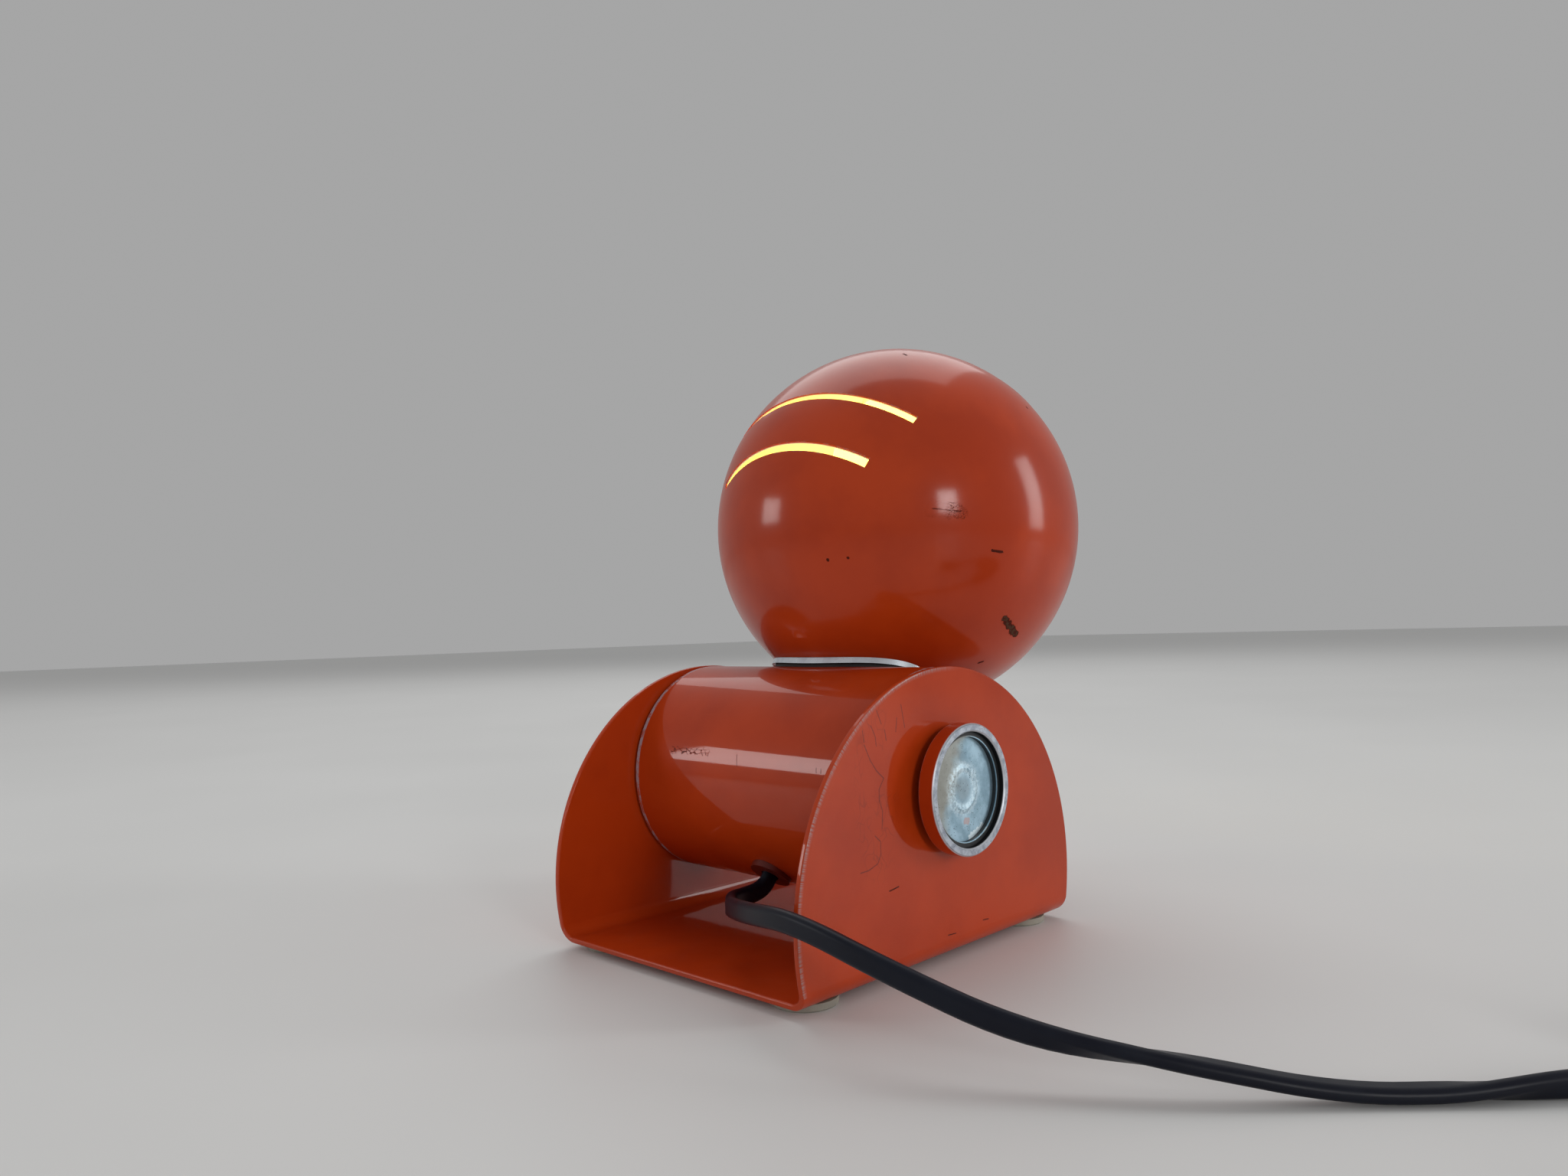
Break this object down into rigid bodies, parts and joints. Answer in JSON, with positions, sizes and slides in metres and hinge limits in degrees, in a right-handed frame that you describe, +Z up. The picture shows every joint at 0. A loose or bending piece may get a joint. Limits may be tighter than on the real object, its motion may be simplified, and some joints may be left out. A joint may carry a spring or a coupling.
{
  "type": "table lamp",
  "caption": "Small orange-red metal table lamp: ball head with glowing slots on a barrel that tilts in a folded bracket, clamp knob, flat cord with switch and plug.",
  "frame": {"origin": "point on the table under the middle of the base, at the foot pads' undersides", "axes": "+Z up, -Y the way the light shines at rest, -X the side with the clamp knob, X along the tilt axis"},
  "size_m": [0.4075, 0.1924, 0.1854],
  "materials": {
    "brass": "plain brass",
    "bright_rim": "orange-red lacquer, rubbed bare on the rim",
    "bulb": "opal glass",
    "chrome": "polished chrome",
    "fibre": "dark fibre washer",
    "flex": "dark navy PVC flex",
    "foot": "whitish rubber",
    "holder": "black phenolic",
    "lacquer": "glossy orange-red lacquer",
    "porcelain": "cream ceramic",
    "rubber": "black rubber",
    "steel": "plain steel",
    "switch": "black plastic",
    "terminal": "white plastic",
    "tie": "black band",
    "zinc": "zinc plated, dull"
  },
  "bodies": {
    "stand": {"bracket": "lacquer", "foot_pad_back_left": "foot", "foot_pad_back_right": "foot", "foot_pad_front_left": "foot", "foot_pad_front_right": "foot", "pivot_bolt": "steel", "pivot_washer": "steel", "pivot_lock_nut": "steel", "friction_washer_left": "fibre", "friction_washer_right": "fibre", "cord_lead_out": "flex", "cord_run": "flex", "cord_coil": "flex", "coil_tie": "tie", "cord_plug_tail": "flex", "plug_relief": "flex", "plug_body": "switch", "plug_pins": "brass", "switch_base": "switch", "switch_cover": "switch", "switch_screws": "steel"},
    "head": {"barrel_cap_left": "lacquer", "barrel_cap_right": "lacquer", "barrel_tube": "lacquer", "bulb_cap": "brass", "bulb_contact": "brass", "bulb_glass": "bulb", "clamp_nut": "steel", "cord_clamp": "terminal", "cord_clamp_screws": "steel", "cord_grommet": "rubber", "cord_tail": "flex", "head_shell": "lacquer", "holder_seat": "holder", "inner_saddle_washer": "steel", "lampholder_cap": "holder", "lampholder_contact": "brass", "lampholder_insulator": "porcelain", "lampholder_skirt": "holder", "lampholder_thread": "brass", "lead_live": "flex", "lead_neutral": "flex", "neck_nipple": "steel", "nipple_nut": "steel", "pivot_bush": "steel", "saddle_collar": "chrome", "saddle_gasket": "rubber", "terminal_block": "terminal", "terminal_screws": "steel", "wiring_plate": "steel"},
    "clamp_knob": {"knob_cup": "bright_rim", "knob_disc": "zinc", "knob_spacer": "fibre", "knob_spindle": "steel"},
    "switch_rocker": {"switch_rocker": "switch"}
  },
  "joints": [
    {"name": "head_tilt", "type": "hinge", "parent": "stand", "child": "head", "pos_m": [0, 0, 0.048], "axis": [1, 0, 0], "range_deg": [-99, 45], "deforming": ["cord_lead_out"]},
    {"name": "clamp_knob_turn", "type": "hinge", "parent": "head", "child": "clamp_knob", "pos_m": [-0.0498, 0, 0.048], "axis": [-1, 0, 0], "range_deg": [0, 180]},
    {"name": "switch_rocker_tip", "type": "hinge", "parent": "stand", "child": "switch_rocker", "pos_m": [-0.23156, -0.04848, 0.0104], "axis": [0.7186, -0.6954, 0], "range_deg": [-20, 0]}
  ]
}
